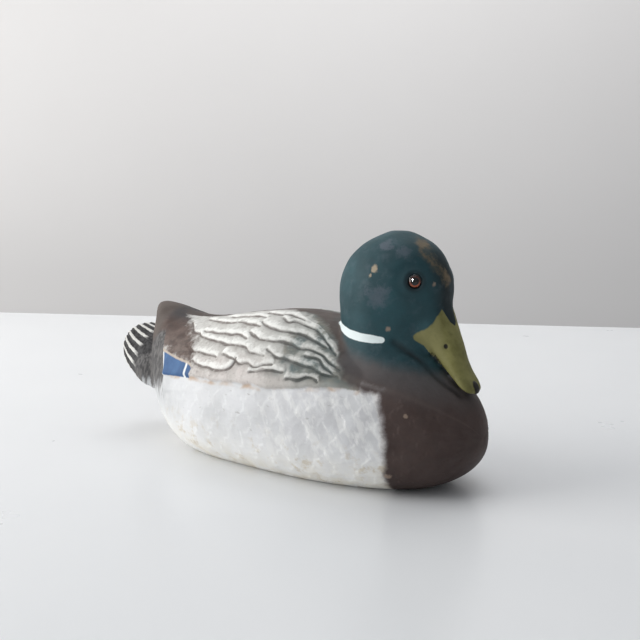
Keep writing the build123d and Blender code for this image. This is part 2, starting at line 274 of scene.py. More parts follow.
def sanded(points, pairs, amount, passes):
    """Eases each point towards the middle of its neighbours, by an amount per point."""
    count = len(points)
    degree = np.bincount(pairs.ravel(), minlength=count)[:, None]
    amount = amount[:, None]
    for _ in range(passes):
        total = np.stack([
            np.bincount(pairs[:, 0], points[pairs[:, 1], k], count)
            + np.bincount(pairs[:, 1], points[pairs[:, 0], k], count) for k in range(3)], 1)
        points = points + amount * (total / np.maximum(degree, 1) - points)
    return points


def note(mesh, name, values):
    """Keeps one number per point on the mesh, for its finish to read."""
    layer = mesh.attributes.new(name, "FLOAT", "POINT")
    layer.data.foreach_set("value", values.astype(np.float32))


def smooth_faces(mesh):
    mesh.polygons.foreach_set("use_smooth", np.ones(len(mesh.polygons), bool))


# ---- carving the duck --------------------------------------------------------------------------

def girth_height(points):
    return GIRTH * np.arctan2(points[:, 2] - GIRTH_Z, np.abs(points[:, 1]))


def feather_relief(flat):
    """Feather rows: each cut is a groove with the lip of the feather above it, and a painted shadow
    fading out below it.
    """
    groove = np.zeros(len(flat))
    cut_shadow = np.zeros(len(flat))
    lip = np.zeros(len(flat))
    for cut in FEATHER_CUTS:
        side, past = beside(flat, flowing(cut))
        hold = np.exp(-(past / 2.5) ** 2)
        groove = np.maximum(groove, hold * np.exp(-((side + 0.4) / 1.25) ** 2))
        rise = np.where(side > 0, (1 - np.exp(-side / 0.9)) * np.exp(-side / 5.0), 0)
        lip = np.maximum(lip, hold * rise * 1.6)
        # painted shadow: below each cut the grey fades out downwards, under the lip of the feather
        below = np.where(side < 0, np.exp(side / 4.0), np.exp(-side / 0.8))
        ends = np.hypot(*(flat - cut[0]).T), np.hypot(*(flat - cut[-1]).T)
        taper = eased(np.minimum(*ends), 0, 12) * np.exp(-(past / 5) ** 2)
        cut_shadow = np.maximum(cut_shadow, taper * below)
    side, past = beside(flat, flowing(WING_FRONT_RIDGE))
    ridge = np.exp(-(side / 1.5) ** 2) * np.exp(-(past / 3) ** 2)
    return groove, lip, ridge, cut_shadow


def flank_scales(flat):
    """Overlapping rounded flank feathers: how near the rear edge of its feather each point is,
    0 to 1, and how far out along that feather it lies."""
    pitch_x, pitch_v, reach = 19.0, 13.0, 15.5
    row = np.round(flat[:, 1] / pitch_v)
    rim = np.zeros(len(flat))
    out = np.zeros(len(flat))
    taken = np.zeros(len(flat), bool)
    for ahead in (1, 0, -1):
        for up in (0, 1, -1):
            r = row + up
            shift = np.where(r % 2 == 0, 0.0, pitch_x / 2)
            column = np.floor((flat[:, 0] - shift) / pitch_x) + ahead
            wobble = 2.0 * np.sin(column * 2.3 + r * 4.1)
            cx = column * pitch_x + shift + wobble
            cy = r * pitch_v + 1.5 * np.cos(column * 3.7 + r)
            gap = np.hypot(flat[:, 0] - cx, (flat[:, 1] - cy) * 1.25)
            fresh = (gap < reach) & ~taken & (flat[:, 0] < cx + 6)
            rim = np.where(fresh, gap / reach, rim)
            out = np.where(fresh, np.clip((cx - flat[:, 0]) / reach, -1, 1), out)
            taken |= fresh
    return rim, out


def tail_rows(points):
    """Where on the arch of the tail each point is, worked out from the tail's half width and height
    there.
    """
    x = np.maximum(points[:, 0], -184)
    top, half, edge = (np.interp(x, TAIL_ROWS[:, 0], TAIL_ROWS[:, k]) for k in (1, 2, 3))
    angle = np.arctan2(points[:, 1] / half, np.clip((points[:, 2] - edge) / (top - edge), 0, 1.2))
    return angle / (math.pi / 2)


def carve_duck():
    """The body, head, bill and tail as one carved skin, with what its paint needs noted on it."""
    block = fused("carved_duck", ["body_upper", "head", "tail_fan", "bill", "right_eye_putty",
                                  "left_eye_putty"], SKIN_GRAIN)
    points = points_of(block.data)
    hollow = (((points[:, 0] - HOLLOW_MIDDLE) / HOLLOW_LENGTH) ** 2
              + (points[:, 1] / HOLLOW_WIDTH) ** 2)
    deep = (hollow < 0.93) & (points[:, 2] < 91.5)
    hidden = block.vertex_groups.new(name="hidden")
    hidden.add([int(i) for i in np.flatnonzero(deep)], 1.0, "REPLACE")
    thin = block.modifiers.new("thin", "DECIMATE")
    thin.vertex_group = "hidden"
    thin.ratio = 1 - 0.92 * float(deep.mean())
    block = settle(block)
    mesh = block.data
    block.vertex_groups.clear()

    points = points_of(mesh)
    pairs = edges_of(mesh)
    x, y, z = points.T
    inner = ((((x - HOLLOW_MIDDLE) / HOLLOW_LENGTH) ** 2 + (y / HOLLOW_WIDTH) ** 2 < 1) & (z < 92)
             | (np.hypot(x - 88, y) < 9) & (z < 178)
             | (np.hypot(x - 112, np.abs(y) - 22) < 8) & (z < 152) & (z > 80)
             | (x > 112) & (np.abs(y) < 19) & (z < 46))
    outer = (~inner).astype(float)
    open_face = outer * eased(z, 1.5, 6)

    seat = z - (SEAT_Z - math.tan(SEAT_TILT) * (x - SEAT_X))
    near_seat = outer * np.exp(-(seat / 9) ** 2) * eased(x, 70, 92) * eased(x, 134, 118)
    fair = 0.6 * outer * eased(x, 105, 125) * eased(z, 48, 62) * eased(z, 114, 104)
    from_bill, from_head, from_body = (gap_to(node, points, x > 126)
                                       for node in ("bill", "head", "body_upper"))
    feathering = np.exp(-((from_bill + from_head) / 3.0) ** 2)
    under_bill = np.exp(-((from_bill + from_body) / 2.2) ** 2)
    coverts_end = outer * np.exp(-((x + 160) / 8) ** 2) * eased(z, 40, 60)
    points = sanded(points, pairs, 0.5 * open_face, 3)
    points = sanded(points, pairs, 0.5 * np.clip(near_seat + 0.3 * coverts_end
                                                     + fair - under_bill, 0, 1), 60)
    points = sanded(points, pairs, 0.5 * np.clip(feathering - under_bill, 0, 1), 50)
    move_points(mesh, points)

    points, normals = points_of(mesh), normals_of(mesh)
    x, y, z = points.T
    height = girth_height(points)
    flat = np.stack([x, height], 1)
    body = outer * eased(seat, 6, -4) * eased(x, -166, -158)

    wander = np.stack([lumps(points, 9, 11), lumps(points, 9, 12)], 1)
    groove, lip, ridge, cut_shadow = feather_relief(flat + 1.5 * wander)
    under, under_past = beside(flat + wander, flowing(WING_UNDER_EDGE))
    rear, rear_past = beside(flat, flowing(WING_REAR_EDGE))
    tip, tip_past = beside(flat, flowing(WING_TIP_EDGE))
    wing = np.minimum(under, rear)
    wing = np.where(flat[:, 0] > 80, np.minimum(wing, 112 - flat[:, 0]), wing)
    on_wing = body * eased(wing, -1, 2) * eased(x, 108, 85)

    def step(side, past, high, fade):
        return (high / (1 + np.exp(-side / 0.7)) * np.exp(-np.maximum(side, 0) / fade)
                * np.exp(-(past / 3) ** 2))

    relief = on_wing * (1.05 * lip - 1.0 * groove + 0.7 * ridge)
    relief += body * step(under, under_past, 2.0, 24) * eased(x, 112, 90)
    relief -= body * 0.7 * np.exp(-((under + 1) / 1.6) ** 2) * eased(x, 112, 90)
    relief += body * step(rear, rear_past, 1.6, 30)
    relief += body * step(tip, tip_past, 1.3, 16)

    rim, out = flank_scales(flat)
    flank = body * eased(under, -2, -7) * eased(height, -75, -50) * eased(rear, -4, 3)
    edge = np.exp(-((1 - rim) / 0.16) ** 2) * eased(out, -0.1, 0.5)
    relief += flank * (0.42 * rim ** 2 * eased(out, -0.6, 0.6) - 0.2)

    breast = outer * eased(x, 95, 125) * eased(seat, 8, 0)
    relief += breast * 0.12 * (rim ** 2 * eased(out, -0.6, 0.6) - 0.4)
    chin = outer * np.exp(-(gap_to_path(points, CHIN_CREASE) / 2.6) ** 2)
    relief -= 1.3 * chin

    arch = tail_rows(points)
    fan = outer * eased(x, -161, -166)
    stripe = np.cos(arch * math.pi * TAIL_STRIPES)
    relief += fan * 0.5 * stripe

    relief += outer * (0.32 * lumps(points, 15, 1) + 0.16 * lumps(points, 6.5, 2))
    eye_gap = np.linalg.norm(
        np.stack([x, np.abs(y), z], 1) - (EYE_TIP - [2.5 * math.sin(EYE_AIM),
                                                     2.5 * math.cos(EYE_AIM), 0]), axis=1)
    relief += 0.35 * np.exp(-((eye_gap - 8.2) / 1.6) ** 2)
    relief -= 0.3 * np.exp(-((eye_gap - 13) / 3.0) ** 2)
    side = np.abs(y)
    nostril = np.linalg.norm((np.stack([x, side, z], 1) - [161, 11.6, 114]) / [2.2, 1.6, 2.4],
                             axis=1)
    nail = np.linalg.norm((points - [180.5, 0, 83]) / [1.0, 0.9, 1.25], axis=1)
    relief -= 1.2 * np.exp(-nostril ** 2)
    relief += 0.6 * eased(nail, 5.2, 3.2) - 0.3 * np.exp(-((nail - 5.4) / 1.1) ** 2)
    relief -= 1.7 * under_bill
    relief *= np.where(inner, 0, 1) * eased(z, 1.0, 5)

    points = points + relief[:, None] * normals
    peak = np.exp(-(np.linalg.norm((points - [-156, 0, 121]) / [15, 17, 12], axis=1)) ** 2)
    points += (outer * peak)[:, None] * np.array([-7.0, 0, 0.6])
    move_points(mesh, points)

    note(mesh, "groove", np.clip(on_wing * groove, 0, 1))
    note(mesh, "cut_shadow", np.clip(on_wing * cut_shadow, 0, 1))
    note(mesh, "lip", np.clip(on_wing * np.maximum(lip, ridge), 0, 1))
    note(mesh, "wing", wing)
    note(mesh, "under_wing", under)
    note(mesh, "back", beside(flat, BACK_LIMIT)[0])
    note(mesh, "tip", np.minimum(-beside(flat, WING_TIP_FRONT)[0], tip))
    note(mesh, "tip_edge", np.abs(tip) + tip_past)
    note(mesh, "speculum", np.where(np.abs(y) > 5, within(flat, SPECULUM), -50))
    note(mesh, "height", height)
    note(mesh, "rear", rear)
    note(mesh, "breast", beside(flat, BREAST_LIMIT)[0])
    note(mesh, "scale_rim", edge)
    note(mesh, "scale_out", rim * eased(out, -0.6, 0.6))
    note(mesh, "arch", arch)
    note(mesh, "forward", x)
    ring_z = np.interp(x, *np.array(NECK_RING, float).T)
    ring_half = np.interp(x, [60, 78, 95, 112, 120], [2.8, 2.9, 3.3, 3.0, 2.2])
    ring = ring_half - np.hypot(z - ring_z, np.maximum(0, x - RING_END_X + ring_half))
    ring = np.minimum(ring, 20 * (1.035 - np.hypot((x - 109) / 46.5, y / 40)))
    note(mesh, "ring", ring)
    note(mesh, "seat", seat)
    seen_ahead = np.stack([side, z], 1)
    on_bill = from_bill < np.minimum(from_head, from_body) + 0.4
    root = np.where(from_head < from_body - 0.5, within(seen_ahead, BILL_ROOT), -50)
    yellow = np.where(on_bill, within(seen_ahead, BILL_FEATHERING), root)
    note(mesh, "bill", np.where(x > 128, yellow, -50))
    note(mesh, "bill_side", side)
    note(mesh, "nostril", nostril)
    note(mesh, "nail", nail)
    # Painted shadow: dark under the bill and along the chin crease.
    shade = outer * np.exp(-gap_to_path(points, CHIN_CREASE) / 3.5) * 0.8
    note(mesh, "crease_shadow", np.maximum(under_bill, shade))
    note(mesh, "eye_gap", eye_gap)
    note(mesh, "crest", gap_to_path(points, CREST_WEAR, mirrored=False))
    return block


def gap_to(node, points, where):
    """Distance from points to a CAD node, worked out only where asked."""
    shape = bmesh.new()
    shape.from_mesh(NODES[node].data)
    tree = BVHTree.FromBMesh(shape)
    shape.free()
    gaps = np.full(len(points), 99.0)
    for i in np.flatnonzero(where):
        gaps[i] = (tree.find_nearest(Vector(points[i] * MM), 0.02)[3] or 0.02) / MM
    return gaps


def part_by_node(block, kinds):
    """Splits the fused duck into closed pieces, each face going to the CAD node it lies on."""
    mesh = block.data
    smooth_faces(mesh)
    normals = normals_of(mesh)
    layer = mesh.attributes.new("lie", "FLOAT_VECTOR", "POINT")
    layer.data.foreach_set("vector", normals.astype(np.float32).ravel())
    trees = {}
    for kind, nodes in kinds.items():
        joined = bmesh.new()
        for node in nodes:
            joined.from_mesh(NODES[node].data)
        trees[kind] = BVHTree.FromBMesh(joined)
        joined.free()
    names = list(kinds)
    belongs = []
    for face in mesh.polygons:
        gaps = [trees[name].find_nearest(face.center, 0.03)[3] for name in names]
        belongs.append(min(range(len(names)), key=lambda k: 1 if gaps[k] is None else gaps[k]))
    pieces = {}
    for k, name in enumerate(names):
        cut = bmesh.new()
        cut.from_mesh(mesh)
        cut.faces.ensure_lookup_table()
        spare = [cut.faces[i] for i, owner in enumerate(belongs) if owner != k]
        bmesh.ops.delete(cut, geom=spare, context="FACES")
        open_edges = [e for e in cut.edges if e.is_boundary]
        filled = bmesh.ops.holes_fill(cut, edges=open_edges, sides=0)
        bmesh.ops.poke(cut, faces=filled["faces"])
        part = bpy.data.meshes.new(name)
        cut.to_mesh(part)
        cut.free()
        flat = np.empty(len(part.vertices) * 3, np.float32)
        part.attributes["lie"].data.foreach_get("vector", flat)
        part.normals_split_custom_set_from_vertices(flat.reshape(-1, 3))
        part.attributes.remove(part.attributes["lie"])
        pieces[name] = shown(name, part)
    bpy.data.objects.remove(block)
    return pieces


def eye_disc(name, side, radius, depth, dome):
    """A domed enamel disc inside the glass, facing the way that the eye does."""
    aim = np.array([math.sin(EYE_AIM), side * math.cos(EYE_AIM), 0.0])
    across = np.array([-aim[1], aim[0], 0.0])
    tip = np.array([EYE_TIP[0], side * EYE_TIP[1], EYE_TIP[2]])
    rings, around = 7, 40
    places, faces = [], []
    for back in (0.0, 0.5):
        for r in range(1, rings + 1):
            share = r / rings
            for k in range(around):
                turn = 2 * math.pi * k / around
                spread = across * math.cos(turn) + np.array([0, 0, 1]) * math.sin(turn)
                sink = depth + back + dome * share ** 2
                places.append(tip - aim * sink + spread * radius * share)
    places += [tip - aim * depth, tip - aim * (depth + 0.5)]
    middle = [len(places) - 2, len(places) - 1]
    for layer in (0, 1):
        start = layer * rings * around
        for k in range(around):
            n = (k + 1) % around
            faces.append((middle[layer], start + k, start + n))
            for r in range(rings - 1):
                low = start + r * around
                faces.append((low + k, low + around + k, low + around + n, low + n))
    outer = (rings - 1) * around
    for k in range(around):
        n = (k + 1) % around
        faces.append((outer + k, outer + rings * around + k, outer + rings * around + n,
                      outer + n))
    mesh = bpy.data.meshes.new(name)
    mesh.from_pydata([tuple(p * MM) for p in places], [], faces)
    tidy = bmesh.new()
    tidy.from_mesh(mesh)
    bmesh.ops.recalc_face_normals(tidy, faces=tidy.faces)
    tidy.to_mesh(mesh)
    tidy.free()
    smooth_faces(mesh)
    note(mesh, "from_middle", np.array([
        np.linalg.norm(np.cross(p - tip, aim)) / radius for p in places]))
    return shown(name, mesh)


# ---- finishes ----------------------------------------------------------------------------------

def tint(red, green, blue):
    """A paint colour from its 0 to 255 values, as linear light."""
    return tuple(((c / 255 + 0.055) / 1.055) ** 2.4 if c > 10 else c / 255 / 12.92
                 for c in (red, green, blue)) + (1.0,)


class Wire:
    """A socket in a finish, which can be added, multiplied and so on."""

    def __init__(self, finish, socket):
        self.finish, self.socket = finish, socket

    def sum(self, operation, *values):
        return self.finish.node("Math", {"operation": operation}, dict(enumerate(values)))

    def __add__(self, other):
        return self.sum("ADD", self, other)

    __radd__ = __add__

    def __sub__(self, other):
        return self.sum("SUBTRACT", self, other)

    def __rsub__(self, other):
        return self.sum("SUBTRACT", other, self)

    def __mul__(self, other):
        return self.sum("MULTIPLY", self, other)

    __rmul__ = __mul__

    def __truediv__(self, other):
        return self.sum("DIVIDE", self, other)

    def most(self, other):
        return self.sum("MAXIMUM", self, other)

    def size(self):
        return self.sum("ABSOLUTE", self)

    def rise(self, low, high):
        """0 below low and 1 above high, eased between."""
        return self.finish.node("MapRange", {"interpolation_type": "SMOOTHSTEP"},
                                {0: self, 1: low, 2: high})

    def fall(self, low, high):
        return self.finish.node("MapRange", {"interpolation_type": "SMOOTHSTEP"},
                                {0: self, 1: low, 2: high, 3: 1.0, 4: 0.0})


class Finish:
    """One material, built node by node."""

    def __init__(self, name):
        self.material = bpy.data.materials.new(name)
        self.material.use_nodes = True
        self.tree = self.material.node_tree
        self.tree.nodes.clear()
        self.place = self.node("TexCoord", out="Object")

    def node(self, kind, settings=None, values=None, out=0):
        made = self.tree.nodes.new("ShaderNode" + kind)
        for name, value in (settings or {}).items():
            setattr(made, name, value)
        for name, value in (values or {}).items():
            if isinstance(value, Wire):
                self.tree.links.new(value.socket, made.inputs[name])
            else:
                made.inputs[name].default_value = value
        return Wire(self, made.outputs[out])

    def carved(self, name):
        """A number that carving kept on the mesh."""
        return self.node("Attribute", {"attribute_name": name}, out="Fac")

    def stretched(self, x=1.0, y=1.0, z=1.0):
        return self.node("VectorMath", {"operation": "MULTIPLY"}, {0: self.place, 1: (x, y, z)})

    def slanted(self, angle, x=1.0, y=1.0, z=1.0):
        """Places turned about the crosswise axis, then stretched."""
        turned = self.node("VectorRotate", {"rotation_type": "Y_AXIS"},
                           {"Vector": self.place, "Angle": angle})
        return self.node("VectorMath", {"operation": "MULTIPLY"}, {0: turned, 1: (x, y, z)})

    def noise(self, scale, detail=3.0, rough=0.55, place=None):
        return self.node("TexNoise", None, {"Vector": place or self.place, "Scale": scale,
                                            "Detail": detail, "Roughness": rough})

    def blots(self, scale):
        """Distance to the nearest of scattered points."""
        return self.node("TexVoronoi", None, {"Vector": self.place, "Scale": scale,
                                              "Randomness": 1.0}, out="Distance")

    def mix(self, share, under, over):
        return self.node("Mix", {"data_type": "RGBA"}, {0: share, 6: under, 7: over}, out=2)

    def bump(self, height, strength, depth):
        return self.node("Bump", None, {"Strength": strength, "Distance": depth * MM,
                                        "Height": height})

    def shell(self, **values):
        names = {"colour": "Base Color", "rough": "Roughness", "metal": "Metallic",
                 "normal": "Normal", "specular": "Specular IOR Level"}
        return self.node("BsdfPrincipled", None, {names[k]: v for k, v in values.items()})

    def done(self, surface):
        end = self.tree.nodes.new("ShaderNodeOutputMaterial")
        self.tree.links.new(surface.socket, end.inputs["Surface"])
        return self.material


def duck_paint():
    """The whole duck's brushed oil paint: one zone of colour over the next, with worn edges."""
    f = Finish("duck_paint")
    rag = f.noise(210, 4, 0.65) - 0.5
    ripple = f.noise(75, 3) - 0.5
    cloud = f.noise(26, 4, 0.6).rise(0.3, 0.7)
    patch = f.noise(60, 4, 0.6).rise(0.32, 0.68)
    dabs = f.noise(150, 4, 0.6, f.stretched(0.55, 1.0, 1.0)).rise(0.36, 0.64)
    hair = f.noise(420, 3, 0.6, f.stretched(1.0, 1.0, 0.16)).rise(0.38, 0.62)
    fore = f.carved("forward")
    height = f.carved("height")
    groove = f.carved("groove")
    lip = f.carved("lip")

    def zone(name, soft, ragged, wander=0.0):
        return (f.carved(name) + rag * ragged + ripple * wander).rise(-soft, soft)

    # Flanks: off-white, with rounded feathers brushed over grey towards the front.
    grey = f.mix(cloud, tint(200, 201, 202), tint(220, 221, 223))
    # Painted shade: the flank darker towards the rear, where less light falls.
    grey = f.mix(fore.fall(-150, -40), grey, tint(196, 198, 200))
    ahead = fore.rise(-10, 85)
    brushed = f.noise(150, 4, 0.6, f.slanted(0.5, 1.0, 1.0, 0.35)).rise(0.4, 0.64)
    dapple = f.noise(95, 3, 0.55, f.slanted(-0.5, 1.0, 1.0, 0.5)).rise(0.42, 0.62)
    shade = (f.carved("scale_out").fall(0.25, 1.05) * 0.2 + dapple * 0.8) * ahead
    colour = f.mix(shade * 0.42, grey, tint(184, 183, 186))
    nicks = f.noise(210, 3, 0.6, f.stretched(0.4, 1.0, 1.0)).rise(0.66, 0.74)
    colour = f.mix(nicks * 0.45, colour, tint(150, 146, 142))
    rims = (f.carved("scale_rim") * 0.15 + brushed * 1.1 + ripple + rag * 0.5).rise(0.3, 1.2)
    colour = f.mix(rims * (ahead * 0.45 + 0.1), colour, tint(236, 236, 234))
    low = height.fall(-48, -12) * patch
    # Painted light: the lower flank lighter, standing in for light thrown up from the table.
    colour = f.mix(height.fall(-45, 5) * 0.85, colour, tint(248, 248, 246))
    colour = f.mix(low * 0.55, colour, tint(224, 214, 190))
    stain = f.noise(70, 4, 0.7).rise(0.54, 0.68) * height.fall(-30, 10)
    colour = f.mix(stain * 0.5, colour, tint(190, 172, 138))
    under = f.carved("under_wing")
    rust = (under + rag * 3).rise(-4.5, -1.5) * (under + rag * 3).fall(0.0, 2.0)
    colour = f.mix(rust * f.noise(48, 2).rise(0.46, 0.62) * 0.8, colour, tint(184, 156, 130))

    # Wing: pale feathers with dark cuts, greener and darker towards the shoulder.
    front = fore.rise(-25, 85)
    feather = f.mix(front, tint(204, 203, 199), tint(176, 177, 172))
    feather = f.mix(dabs * 0.45, feather, tint(186, 184, 180))
    pink = height.fall(34, 60) * fore.fall(20, 80)
    feather = f.mix(pink * (patch * 0.4 + 0.6) * 0.75, feather, tint(208, 198, 194))
    bars = f.noise(85, 2, 0.5, f.stretched(1.0, 0.6, 0.6)).rise(0.36, 0.62)
    feather = f.mix(bars * (1 - lip) * 0.4, feather, tint(158, 153, 148))
    shoulder = (fore.rise(-10, 80) * 1.9 + bars * 0.9 + f.noise(140, 3, 0.6) * 0.6 - lip * 0.5
                - 1.1)
    feather = f.mix(shoulder.rise(0.1, 1.2) * height.rise(34, 46) * 0.85, feather,
                    f.mix(patch, tint(64, 86, 88), tint(108, 104, 92)))
    speck = (f.noise(170, 2, 0.6).rise(0.57, 0.68)) * fore.fall(-50, 30)
    feather = f.mix(speck * 0.55, feather, tint(140, 132, 127))
    # Painted shadow below each feather lip, fading down from the cut.
    cut_shadow = (f.carved("cut_shadow") + rag * 0.6 + ripple * 0.5).rise(0.15, 0.95)
    feather = f.mix(cut_shadow * 0.7, feather, f.mix(front, tint(138, 131, 127), tint(92, 98, 96)))
    cuts = (groove * 1.1 + rag * 0.9 + ripple * 1.7).rise(0.35, 1.05)
    feather = f.mix(cuts * 0.66, feather, f.mix(front, tint(96, 87, 82), tint(52, 59, 58)))
    lips = (lip + rag * 1.4 + ripple * 1.1 - front * 0.12).rise(0.4, 1.0) * (1 - cuts)
    feather = f.mix(lips * (1 - front * 0.45) * 0.85, feather, tint(238, 238, 234))
    fleck = f.noise(380, 4, 0.7)
    feather = f.mix(fleck.rise(0.54, 0.7) * 0.4, feather, tint(130, 126, 121))
    feather = f.mix(fleck.fall(0.32, 0.46) * (1 - front) * 0.4, feather, tint(226, 227, 224))
    colour = f.mix(zone("wing", 0.8, 3.0), colour, feather)

    # Brown back, and brown wing tips running up to the rump.
    umber = f.mix(cloud, tint(70, 60, 56), tint(92, 82, 77))
    umber = f.mix(dabs * 0.4, umber, tint(84, 77, 73))
    colour = f.mix(zone("back", 3.5, 10, 6), colour, umber)
    drab = f.mix(patch, tint(74, 60, 55), tint(102, 87, 81))
    drab = f.mix((dabs * height.fall(50, 85)) * 0.35, drab, tint(146, 134, 127))
    drab = f.mix(height.rise(84, 98), drab, tint(66, 63, 64))
    long_strokes = f.noise(170, 3, 0.6, f.slanted(-0.45, 0.2, 1.0, 1.0)).rise(0.48, 0.66)
    drab = f.mix(long_strokes * 0.45, drab, tint(72, 64, 61))
    tip = zone("tip", 6, 22, 14)
    colour = f.mix(tip, colour, drab)

    # Speculum: a clean blue patch with white bars at both ends.
    blue = f.mix(patch, tint(56, 90, 134), tint(76, 112, 154))
    ends = ((fore + 66 + rag * 1.5).size().fall(0.9, 1.9)).most(
        (f.carved("rear") + rag).fall(1.8, 2.8))
    blue = f.mix(ends, blue, tint(226, 230, 232))
    colour = f.mix(zone("speculum", 0.5, 1.2), colour, blue)
    trim = (f.carved("tip_edge") + rag * 1.6).fall(0.5, 1.6) * fore.fall(-62, -56)
    colour = f.mix(trim * 0.8, colour, tint(196, 182, 166))

    # Grey coverts behind the wing, ending in hair strokes over the white below them.
    slate = f.mix(hair, tint(68, 67, 68), tint(108, 106, 105))
    behind = (f.carved("rear") + rag * 1.2).fall(-0.6, 0.6)
    strokes = (height + hair * 16 - 8 + ripple * 14).rise(2, 22)
    colour = f.mix(behind * strokes * height.fall(70, 78), colour, slate)
    peak = (fore + ripple * 4).fall(-136, -126) * height.rise(62, 74)
    colour = f.mix(peak, colour, f.mix(patch, tint(82, 73, 68), tint(96, 87, 82)))

    # Tail: black with white stripes.
    ink = f.mix(hair, tint(38, 37, 38), tint(74, 73, 74))
    arch = f.carved("arch")
    lines = f.node("Math", {"operation": "COSINE"}, {0: arch * (math.pi * TAIL_STRIPES)}) + rag * 1.6
    inward = (fore + f.noise(70, 2) * 26 - 13).fall(-167, -158)
    white = lines.rise(0.2, 0.75) * inward
    fan = f.mix(white, ink, tint(222, 221, 216))
    further_in = height.rise(50, 62) * height.fall(80, 86) * 14
    on_tail = (fore + rag * 3 - further_in).fall(-161, -157)
    colour = f.mix(on_tail, colour, fan)

    # Breast: dark brown, greyer above, running into the teal of the neck.
    russet = f.mix(cloud, tint(62, 49, 46), tint(80, 66, 62))
    russet = f.mix(dabs * 0.35, russet, tint(74, 64, 62))
    seat = f.carved("seat")
    russet = f.mix((seat + ripple * 8).rise(-38, -10) * 0.8, russet, tint(88, 87, 88))
    breast = f.carved("breast")
    edge = height.rise(44, 54)
    blush = (breast + rag * 5 + ripple * 4).rise(-5, 1)
    colour = f.mix(blush * (1 - edge) * 0.35, colour, tint(132, 112, 106))
    colour = f.mix((breast + rag * 5 + ripple * 4).rise(-3.5, 3) * (1 - edge), colour, russet)
    colour = f.mix((breast + rag * 8 + ripple * 8).rise(-9, 6) * edge, colour, russet)
    teal = f.mix(cloud, tint(26, 59, 66), tint(42, 77, 84))
    teal = f.mix(patch * 0.35, teal, tint(46, 63, 68))
    neck = (seat + ripple * 6 + rag * 2 + fore.fall(68, 96) * -14).rise(-15, -4)
    colour = f.mix(neck * fore.rise(50, 60), colour, teal)
    # Painted shade: a dark band down the front of the face, where the forehead lies in shade.
    brow_shade = (fore + rag * 6).rise(136, 152) * f.carved("bill_side").fall(3, 19)
    colour = f.mix(brow_shade * seat.rise(6, 20) * 0.85, colour, tint(16, 24, 27))

    # Head: the same teal, thinned to grey and purple where it has been rubbed.
    def spot(x, y, z, radius, raggedness):
        gap = f.node("VectorMath", {"operation": "DISTANCE"},
                     {0: f.place, 1: (x * MM, y * MM, z * MM)}, out="Value")
        return (gap / MM + rag * raggedness * 2.4).fall(radius * 0.45, radius * 1.25)

    mottle = f.noise(85, 4, 0.65).rise(0.5, 0.72)
    colour = f.mix(mottle * neck * 0.35, colour, tint(78, 92, 100))
    rubbed = spot(115, -23, 188, 7, 7).most(spot(130, -22, 183, 6, 6)).most(
        spot(117, -38, 150, 10, 12) * 0.8)
    colour = f.mix(rubbed * (patch * 0.3 + 0.15), colour, tint(104, 108, 120))
    crest = (f.carved("crest") + rag * 9 + ripple * 9).fall(2.5, 7.5)
    worn = f.noise(130, 4, 0.65).rise(0.4, 0.6)
    colour = f.mix(crest * (worn * 0.6 + 0.2), colour,
                   f.mix(patch, tint(74, 70, 58), tint(132, 114, 88)))
    bare = spot(113, -36, 171, 3.0, 3).most(spot(110, -37, 165, 1.8, 3)).most(
        spot(148, 11, 150, 2.2, 3)).most(spot(102, 37, 176, 2.6, 3))
    colour = f.mix(bare * 0.85, colour, tint(170, 155, 132))
    nick = spot(123, -32, 126, 2.2, 2).most(spot(148, -45, 65, 2.0, 2)).most(
        spot(151, -14, 160, 1.8, 2)).most(spot(136, -50, 19, 3.0, 4))
    colour = f.mix(nick * 0.7, colour, tint(158, 138, 122))
    # Painted shade: a dark ring round the eye, where the socket lies in shade.
    socket = f.carved("eye_gap").fall(6.5, 9.5)
    colour = f.mix(socket * 0.6, colour, tint(30, 40, 44))

    colour = f.mix(zone("ring", 0.35, 0.8), colour, tint(226, 236, 236))
    olive = f.mix(patch, tint(108, 105, 60), tint(132, 129, 80))
    olive = f.mix(f.noise(160, 4, 0.6).rise(0.5, 0.72) * 0.5, olive, tint(92, 88, 56))
    olive = f.mix((f.carved("bill_side") + rag * 2).rise(11, 13.5) * 0.4, olive,
                  tint(146, 142, 100))
    olive = f.mix((f.carved("nostril") + rag * 0.3).fall(0.6, 1.05), olive, tint(34, 33, 24))
    olive = f.mix((f.carved("nail") + rag * 1.2).fall(4.0, 5.2), olive, tint(36, 33, 29))
    bill = zone("bill", 0.5, 1.0)
    colour = f.mix(bill, colour, olive)
    # Painted shadow under the bill and in the chin crease.
    colour = f.mix((f.carved("crease_shadow") + rag * 0.25).rise(0.1, 0.95) * 0.85, colour,
                   tint(32, 33, 35))

    weave = f.noise(520, 3, 0.6)
    strokes_up = f.noise(260, 2, 0.5, f.stretched(0.35, 1.0, 1.0))
    normal = f.bump(strokes_up + weave * 0.45, 0.55, 0.35)
    rough = f.noise(120, 3, 0.6) * 0.22 + 0.5 - bill * 0.12
    return f.done(f.shell(colour=colour, rough=rough, normal=normal, specular=0.26))


def glass():
    f = Finish("eye_glass")
    shine = f.node("LayerWeight", None, {"Blend": 0.25}, out="Fresnel")
    outside = 1 - f.node("NewGeometry", out="Backfacing")
    dust = f.noise(900, 2)
    gloss = f.shell(colour=(1, 1, 1, 1), rough=dust * 0.03 + 0.02, metal=1.0)
    clear = f.node("BsdfTransparent")
    return f.done(f.node("MixShader", None,
                         {0: (shine * 0.25 + 0.03) * outside, 1: clear, 2: gloss}))


